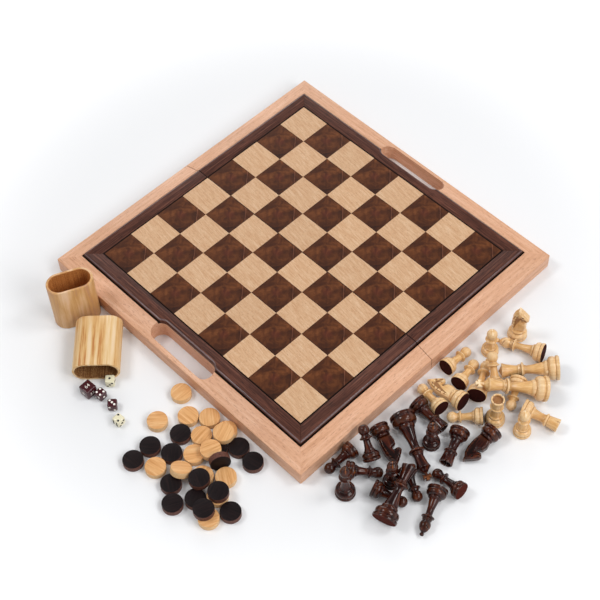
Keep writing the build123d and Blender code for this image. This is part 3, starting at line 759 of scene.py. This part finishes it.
def traced(name, points, material):
    """A point drawn out along the others, left in edit mode and selected all over."""
    bpy.ops.mesh.primitive_plane_add(size=0.001)
    piece = begun(name, material)
    bpy.ops.object.mode_set(mode="EDIT")
    bpy.ops.mesh.select_mode(type="VERT")
    bpy.ops.mesh.select_all(action="SELECT")
    bpy.ops.mesh.merge(type="CENTER")
    bpy.ops.transform.translate(value=points[0])
    for start, end in zip(points, points[1:]):
        if (end - start).length > 1e-7:
            bpy.ops.mesh.extrude_region_move(TRANSFORM_OT_translate={"value": end - start})
    bpy.ops.mesh.select_all(action="SELECT")
    return piece


def turned_solid(name, outline, material):
    """A turned solid: an outline (radius, height in mm), closed on its axis and spun about Z."""
    outline = [(0, outline[0][1]), *outline, (0, outline[-1][1])]
    piece = traced(name, [Vector((r / 1000, 0, z / 1000)) for r, z in outline], material)
    bpy.ops.mesh.spin(steps=44, angle=math.tau, center=(0, 0, 0), axis=(0, 0, 1))
    bpy.ops.mesh.select_all(action="SELECT")
    bpy.ops.mesh.remove_doubles(threshold=0.00001)
    bpy.ops.mesh.normals_make_consistent(inside=False)
    bpy.ops.object.mode_set(mode="OBJECT")
    bevelled(piece, 0.25, segments=2, degrees=28)
    bpy.ops.object.shade_smooth_by_angle(angle=math.radians(50))
    return piece


def cut_out(name, outline, thickness, material, softened):
    """A flat piece sawn to an outline (x, z in mm), with its edges softened; both sizes in mm."""
    points = [Vector((x / 1000, -thickness / 2000, z / 1000)) for x, z in outline]
    piece = traced(name, [*points, points[0]], material)
    bpy.ops.mesh.remove_doubles(threshold=0.00001)
    bpy.ops.mesh.edge_face_add()
    bpy.ops.mesh.extrude_region_move(TRANSFORM_OT_translate={"value": (0, thickness / 1000, 0)})
    bpy.ops.mesh.select_all(action="SELECT")
    bpy.ops.mesh.normals_make_consistent(inside=False)
    bpy.ops.object.mode_set(mode="OBJECT")
    if softened:
        bevelled(piece, softened)
    bpy.ops.object.shade_smooth_by_angle(angle=math.radians(40))
    return piece


def carve(piece, size, place, tilt=0, headings=(0,)):
    """Cuts a block out of a man at each heading: its size and middle in mm, its tilt in degrees."""
    for heading in headings:
        bpy.ops.mesh.primitive_cube_add(size=1)
        block = begun("block", piece.data.materials[0])
        scale = Matrix.Diagonal((*[side / 1000 for side in size], 1))
        middle = Matrix.Translation([side / 1000 for side in place])
        block.data.transform(middle @ Matrix.Rotation(math.radians(tilt), 4, "Y") @ scale)
        block.data.transform(Matrix.Rotation(math.radians(heading), 4, "Z"))
        cut_with(piece, block)


def lying_place(profile, x, y, heading, cheek_down=1):
    """Place of a man that lies on the rim of its foot and on its head, in mm."""
    foot_radius, foot_z = max(profile)
    dip = min(math.atan2(foot_radius - r, z - foot_z) for r, z in profile if z > foot_z)
    height = foot_radius * math.cos(dip) + foot_z * math.sin(dip)
    return place_of(x, y, height, heading, -math.degrees(dip), cheek_down)


# Lacquer gives the men small sharp highlights. Stain gathers in their grooves and is rubbed from
# their edges, and painted shade deepens the grooves while a painted highlight lights the edges. The
# baize under them is matt and mottled.
light_man_wood = wood(
    "Boxwood, lacquered", [(0.28, "#C68F54"), (0.50, "#DBAD71"), (0.75, "#E9C796")],
    ("#B98A50", 0.3), (2.2, 30, 0.5, 5), 0.3, coat=0.3, shine=0.3, own=True, turn=(QUARTER, 0, 0),
    edges=(("#743A14", 0.499, 0.466), ("#F8E3BF", 0.515, 0.57)),
)
dark_man_wood = wood(
    "Stained wood, lacquered",
    [(0.28, "#110303"), (0.44, "#250906"), (0.58, "#40160B"), (0.78, "#703A1A")],
    ("#140404", 0.1), (4.0, 36, 0.5, 5), 0.22, coat=0.4, shine=0.1, own=True, turn=(QUARTER, 0, 0),
    edges=(("#060101", 0.50, 0.46), ("#92552C", 0.525, 0.62)),
)
light_baize = plain_material("Maroon baize", "#34130F", 0.95, mottle=0.25)
dark_baize = plain_material("Brown baize", "#491A11", 0.95, mottle=0.25)

KING = [
    (12.9, 0), (13.5, 0.8), (13.5, 3.2), (12.7, 3.9), (12.2, 4.3), (12.5, 5), (12.9, 6.5),
    (12.8, 8.8), (11.9, 10.9), (9.9, 12.6), (8.6, 13), (8.8, 13.9), (8.5, 15.4), (7.6, 17),
    (7.2, 17.4), (7.2, 18), (6.4, 22), (4.9, 30), (4.3, 37), (5, 39.6), (8.2, 41.3), (8.2, 42.8),
    (5.8, 43.6), (6.6, 44.4), (5.7, 45.2), (6.1, 46), (5.2, 46.8), (5.1, 48.8), (5.5, 52.5),
    (6.5, 58), (7.6, 61.3), (7.3, 61.9), (5.8, 62.6), (4.6, 64), (3, 65.6), (2.2, 66.2),
    (1.6, 66.8),
]
CROSS = [
    (1.5, 65.5), (1.5, 69.2), (4.3, 67.8), (4.3, 73.4), (1.6, 72.1), (2.4, 75), (-2.4, 75),
    (-1.6, 72.1), (-4.3, 73.4), (-4.3, 67.8), (-1.5, 69.2), (-1.5, 65.5),
]
QUEEN = [
    (12.4, 0), (13, 0.8), (13, 3), (12.3, 3.7), (11.8, 4.1), (12.1, 4.7), (12.5, 6.2), (12.4, 8.2),
    (11.6, 10.1), (9.6, 11.6), (8.4, 12), (8.6, 12.8), (8.3, 14.2), (7.4, 15.8), (7, 16.2),
    (7, 16.8), (6.2, 20), (4.8, 27), (4.2, 33.5), (4.9, 35.8), (7.8, 37.3), (7.8, 38.6),
    (5.6, 39.4), (6.4, 40.2), (5.5, 41), (5.9, 41.8), (5, 42.6), (4.9, 44.5), (5.4, 48),
    (6.4, 53.5), (7.9, 58.6), (7.6, 59.2), (6, 58.4), (5, 58.8), (4.2, 60), (2.4, 60.9),
    (1.5, 61.1), (1.4, 61.7), (0.5, 62),
]
BISHOP = [
    (10, 0), (10.5, 0.7), (10.5, 2.7), (9.8, 3.2), (9.4, 3.5), (9.8, 4), (10.1, 5.2), (10, 7),
    (9.3, 8.6), (7.6, 9.8), (6.6, 10.1), (6.9, 10.8), (6.6, 11.8), (5.4, 12.6), (4.7, 15),
    (3.6, 22), (3.3, 28.5), (4, 30.3), (6.6, 31.4), (6.6, 32.2), (4.6, 33), (5.3, 33.8),
    (4.4, 34.5), (4.9, 35.2), (4, 35.9), (5, 37.6), (5.7, 39.8), (5.6, 41.6), (4.9, 44),
    (3.4, 46.4), (1.7, 48), (1.4, 48.5), (2.1, 49.3), (2.3, 50.3), (1.7, 51.5), (0.5, 52),
]
ROOK = [
    (10, 0), (10.5, 0.7), (10.5, 2.7), (9.8, 3.2), (9.4, 3.5), (9.8, 4), (10.1, 5.2), (10, 7),
    (9.3, 8.6), (7.6, 9.8), (6.7, 10.1), (7, 10.9), (6.7, 12), (5.6, 12.8), (5.1, 14), (4.5, 20),
    (4.5, 23), (5.2, 24.8), (7, 26.2), (7, 27.2), (5.6, 28.2), (6.1, 29.2), (5.9, 30.3), (6.1, 31),
    (6.9, 38), (7.1, 39.5), (6.9, 40), (5.4, 40), (5.3, 37),
]
PAWN = [
    (8.9, 0), (9.3, 0.6), (9.3, 2.6), (8.7, 3), (8.3, 3.3), (8.6, 3.7), (8.9, 4.7), (8.9, 6.2),
    (8.3, 7.6), (7, 8.6), (5.9, 8.9), (6.1, 9.5), (5.9, 10.3), (5, 10.8), (4.3, 13), (3.6, 18),
    (3.5, 20.6), (4, 21.6), (6.3, 22.4), (6.5, 22.9), (6.3, 23.5), (4.6, 24.3), (4.3, 25.2),
    (3.7, 26), (4.1, 26.9), (5, 28.3), (5.6, 30.2), (5.7, 31.5), (5.4, 33.2), (4.6, 34.8),
    (3.3, 36), (1.8, 36.7), (0.5, 37),
]
KNIGHT_FOOT = [
    (10, 0), (10.5, 0.7), (10.5, 2.7), (9.8, 3.2), (9.4, 3.5), (9.8, 4), (10.1, 5.2), (10, 7),
    (9.3, 8.6), (7.8, 9.8), (6.9, 10.2), (7.5, 11.1), (7.5, 12.5), (6.8, 13.4),
]
KNIGHT_HEAD = [
    (-6.3, 13), (-7.6, 22), (-7.4, 31), (-5.6, 38), (-2.4, 42.5), (-1.6, 46), (1.2, 43.2),
    (5, 39.5), (9.6, 34), (10, 31), (7.6, 29), (2.6, 29.8), (1.8, 27.4), (6.6, 25.4), (8, 20),
    (6.3, 13),
]
# Middle x and z, length in mm and tilt in degrees of each cut between the locks of the mane.
MANE = [
    (-6.6, 20, 5, 12), (-6.5, 24.6, 5, 6), (-6.1, 29, 5, 0), (-5.4, 33.4, 4.5, -10),
    (-4.2, 37.2, 4, -22),
]
# The outlines that a man rests on when it lies, as plainly as they touch the table.
RESTS = {
    "king": [(13.5, 0), (13.5, 3.6), (8.2, 43.6), (7.6, 61.5), (2.4, 66.8)],
    "queen": [(13, 0), (13, 3.5), (7.8, 39.4), (8, 59.2), (1, 62)],
    "bishop": [(10.5, 0), (10.5, 3), (6.6, 32.4), (5.7, 41), (2.1, 50.2), (0.8, 52)],
    "rook": [(10.5, 0), (10.5, 3), (7, 27), (7.1, 40)],
    "pawn": [(9.3, 0), (9.3, 3), (6.5, 23.5), (5.7, 31.5), (2.5, 37)],
    "knight": [(10.5, 0), (10.5, 3), (8.8, 6.2), (7.2, 13.4), (4.8, 46)],
}


def king(man_wood):
    """A king, its flared cross pegged on."""
    body = turned_solid("king", KING, man_wood)
    return joined(body, cut_out("cross", CROSS, 4, man_wood, 0.6))


def queen(man_wood):
    """A queen, eight notches cut round its coronet."""
    body = turned_solid("queen", QUEEN, man_wood)
    carve(body, (4, 1.1, 2.4), (7.2, 0, 60), headings=range(0, 360, 45))
    return body


def bishop(man_wood):
    """A bishop with one slanting cut in its mitre."""
    body = turned_solid("bishop", BISHOP, man_wood)
    carve(body, (7, 14, 1.1), (4.2, 0, 43.6), tilt=-38)
    return body


def rook(man_wood):
    """A rook, two slits crossing in its tower."""
    body = turned_solid("rook", ROOK, man_wood)
    carve(body, (22, 1.2, 3.6), (0, 0, 39.2), headings=(0, 90))
    return body


def pawn(man_wood):
    """A pawn, plain from the lathe."""
    return turned_solid("pawn", PAWN, man_wood)


def knight(man_wood):
    """A knight, its head sawn out, faceted and cut with mane, mouth, cheek and eye."""
    foot = turned_solid("knight", KNIGHT_FOOT, man_wood)
    head = cut_out("head", KNIGHT_HEAD, 9.6, man_wood, 0)
    with editing("DESELECT"):
        bpy.ops.mesh.select_mode(type="FACE")
    for face in head.data.polygons:
        face.select = abs(face.normal.y) > 0.9
    with editing(None):
        bpy.ops.mesh.inset(thickness=0.0017)
    flat = {v for face in head.data.polygons if face.select for v in face.vertices}
    for vertex in head.data.vertices:
        if vertex.index not in flat:
            vertex.co.y *= 0.62
    bevelled(head, 0.3, segments=2, degrees=20)
    for side in (-1, 1):
        for x, z, length, tilt in MANE:
            carve(head, (length, 1.6, 0.9), (x, side * 4.8, z), tilt)
        carve(head, (4.2, 4, 0.8), (8.8, side * 4.2, 31.8), 24)
        carve(head, (8, 1.6, 1.0), (2.6, side * 5.1, 33.0), 58)
        bpy.ops.mesh.primitive_uv_sphere_add(segments=16, ring_count=8, radius=0.0013)
        eye = begun("eye", man_wood)
        eye.data.transform(Matrix.Translation((0.0032, side * 0.0050, 0.0374)))
        cut_with(head, eye)
    bpy.ops.object.shade_smooth_by_angle(angle=math.radians(24))
    return joined(foot, head)


MEN = {
    "light_king": (king, [place_of(58.4, -105, 13.4, 136, 10)]),
    "light_queen": (queen, [("queen", 87.4, -97.4, 135)]),
    "light_bishops": (bishop, [("bishop", 91.2, -73.7, 110), ("bishop", 3.5, -58.5, 27)]),
    "light_knights": (knight, [upright(96.2, -35, -60), ("knight", -11.5, -54, 93, -1)]),
    "light_rooks": (rook, [upright(0, -87.1), ("rook", 25.2, -101.1, -74)]),
    "light_pawns": (
        pawn,
        [
            upright(60, -28.4), upright(8.8, -115.6), ("pawn", 7.5, -13, -1),
            ("pawn", 2, -35.5, 11), ("pawn", 50.3, -75.6, -154), ("pawn", -9.2, -78.9, 133),
            ("pawn", -32, -43, 80), place_of(26.3, -64.9, 8, 52, 36),
        ],
    ),
    "dark_king": (king, [("king", -68, -21.5, -116)]),
    "dark_queen": (queen, [place_of(-165.8, -89.5, 12.8, 18, 13)]),
    "dark_bishops": (bishop, [upright(-165.5, -37.5), ("bishop", -102.2, -102.4, -156)]),
    "dark_knights": (knight, [("knight", -14.4, -97.7, -179), ("knight", -93.5, -12.4, -109)]),
    "dark_rooks": (rook, [("rook", -37.8, -74.1, -160), ("rook", -45.3, -20, -93)]),
    "dark_pawns": (
        pawn,
        [
            upright(-65.6, -60.2), upright(-125.3, -62), ("pawn", -88.5, -120.9, 91),
            ("pawn", -128.2, -11.5, 177), ("pawn", -150.5, -24, -47), ("pawn", -146.1, -56.3, -71),
            ("pawn", -107.2, -64.4, -117), place_of(-123.6, -33.9, 7.5, 65, 37),
        ],
    ),
}
BEFORE_CASE = Matrix.Translation((0, -CASE_EDGE, 0))
FINISHES = {
    "light": (light_man_wood, light_baize, "boxwood"),
    "dark": (dark_man_wood, dark_baize, "stained_wood"),
}
for name, (make, places) in MEN.items():
    tone = name.split("_")[0]
    man_wood, baize, slot_name = FINISHES[tone]
    man = make(man_wood)
    man.data.materials.append(baize)
    for face in man.data.polygons:
        if face.center.z < HAIR / 4:
            face.material_index = len(man.data.materials) - 1
    for index, man_place in enumerate(places):
        if isinstance(man_place, tuple):
            kind, *lie = man_place
            man_place = lying_place(RESTS[kind], *lie)
        copy = linked(f"{name}_{index + 1}", man.data.copy())
        settled(copy, BEFORE_CASE @ man_place, 0.017 * (index + 1))
        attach(copy, tone + "_men")
        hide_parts(name)
    bpy.data.objects.remove(man)

# Table. A plain pale sweep, matt, a hair below the pieces. It is open under the case, so that from
# below the trays' insides are in sight, and so is the half that folds beneath. The finger slots
# still look down on the table. Far off it glows with painted light, seen by the camera, in gloss
# and through clear things but lighting nothing, and so goes over into the white of the room.


def seen_rays(add):
    """One for rays from the camera, a gloss or through a clear thing, and nothing for light."""
    rays = add("LightPath").outputs
    seen = add("Math", {0: rays["Is Camera Ray"], 1: rays["Is Glossy Ray"]}, operation="MAXIMUM")
    return add("Math", {0: seen, 1: rays["Is Transmission Ray"]}, operation="MAXIMUM")


OPENING, TIMES_OUT, BELOW = (0.324, 0.378, 1), (24, 21, 1), (0, 0, -0.00003)
pale_table = plain_material("Matt white table", "#ECEDEF", 0.75)
add = partial(add_node, pale_table.node_tree)
out = add("VectorMath", {0: add("TexCoord").outputs["Object"]}, operation="LENGTH")
# Painted light: the table glows far off, for the camera and in gloss only.
glow = add(
    "MapRange", {"Value": out, "From Min": 0.27, "From Max": 0.72, "To Min": 0.0, "To Max": 0.8},
    interpolation_type="SMOOTHSTEP",
)
only_seen = add("Math", {0: glow, 1: seen_rays(add)}, operation="MULTIPLY")
set_inputs(
    pale_table.node_tree.nodes["Principled BSDF"],
    {"Emission Color": (1, 1, 1, 1), "Emission Strength": only_seen},
)
bpy.ops.mesh.primitive_plane_add(size=1)
table = begun("table", pale_table)
with editing():
    bpy.ops.transform.resize(value=OPENING, center_override=(0, 0, 0))
    bpy.ops.mesh.delete(type="ONLY_FACE")
    bpy.ops.mesh.select_mode(type="EDGE")
    bpy.ops.mesh.select_all(action="SELECT")
    bpy.ops.mesh.extrude_edges_move()
    bpy.ops.transform.resize(value=TIMES_OUT, center_override=(0, 0, 0))
    bpy.ops.mesh.select_all(action="SELECT")
    bpy.ops.transform.translate(value=BELOW)
    bpy.ops.mesh.normals_make_consistent(inside=False)

# Light. A softbox high on each side, a broad one in front and a low white card behind, in a white
# room with a dimmer ceiling. The shadows are short and soft, and polished pieces show small
# highlights.


def soft_lamp(name, place, aim, size, power):
    """A square area lamp of size in metres, aimed at a point."""
    lamp = bpy.data.lights.new(name, "AREA")
    lamp.size = size
    lamp.energy = power
    holder = linked(name, lamp)
    holder.location = place
    holder.rotation_euler = (Vector(aim) - Vector(place)).to_track_quat("-Z", "Y").to_euler()


soft_lamp("left lamp", (-0.96, 0.93, 2.0), (-0.05, -0.05, 0), 0.65, 15)
soft_lamp("right lamp", (0.95, -0.90, 2.0), (-0.05, -0.05, 0), 0.65, 12)
soft_lamp("front lamp", (0.1, -1.7, 1.5), (0, 0, 0), 1.0, 19)
soft_lamp("back card", (1.1, 1.6, 0.9), (0, 0, 0), 1.4, 11)

world = bpy.data.worlds.new("white room")
bpy.context.scene.world = world
world.use_nodes = True
add = partial(add_node, world.node_tree)
way = add("SeparateXYZ", {"Vector": add("TexCoord").outputs["Generated"]}).outputs
walls = add(
    "MapRange",
    {"Value": way["Z"], "From Min": 0.3, "From Max": 0.75, "To Min": 1.0, "To Max": 0.3},
)
level = add("MapRange", {"Value": seen_rays(add), "To Min": 0.4, "To Max": walls})
set_inputs(world.node_tree.nodes["Background"], {"Color": (1, 1, 1, 1), "Strength": level})

# Camera. Above the front left corner, looking down at the board.

lens = bpy.data.cameras.new("camera")
lens.lens = 84.72
lens.sensor_width = 36
camera = linked("camera", lens)
camera.location = (-0.63907, -0.68825, 1.2362)
aim = Vector((0.39707, 0.43191, -0.80981)).to_track_quat("-Z", "Y").to_matrix()
camera.rotation_euler = (aim @ Matrix.Rotation(math.radians(-2.33), 3, "Z")).to_euler()
bpy.context.scene.camera = camera
bpy.context.scene.view_settings.view_transform = "Standard"
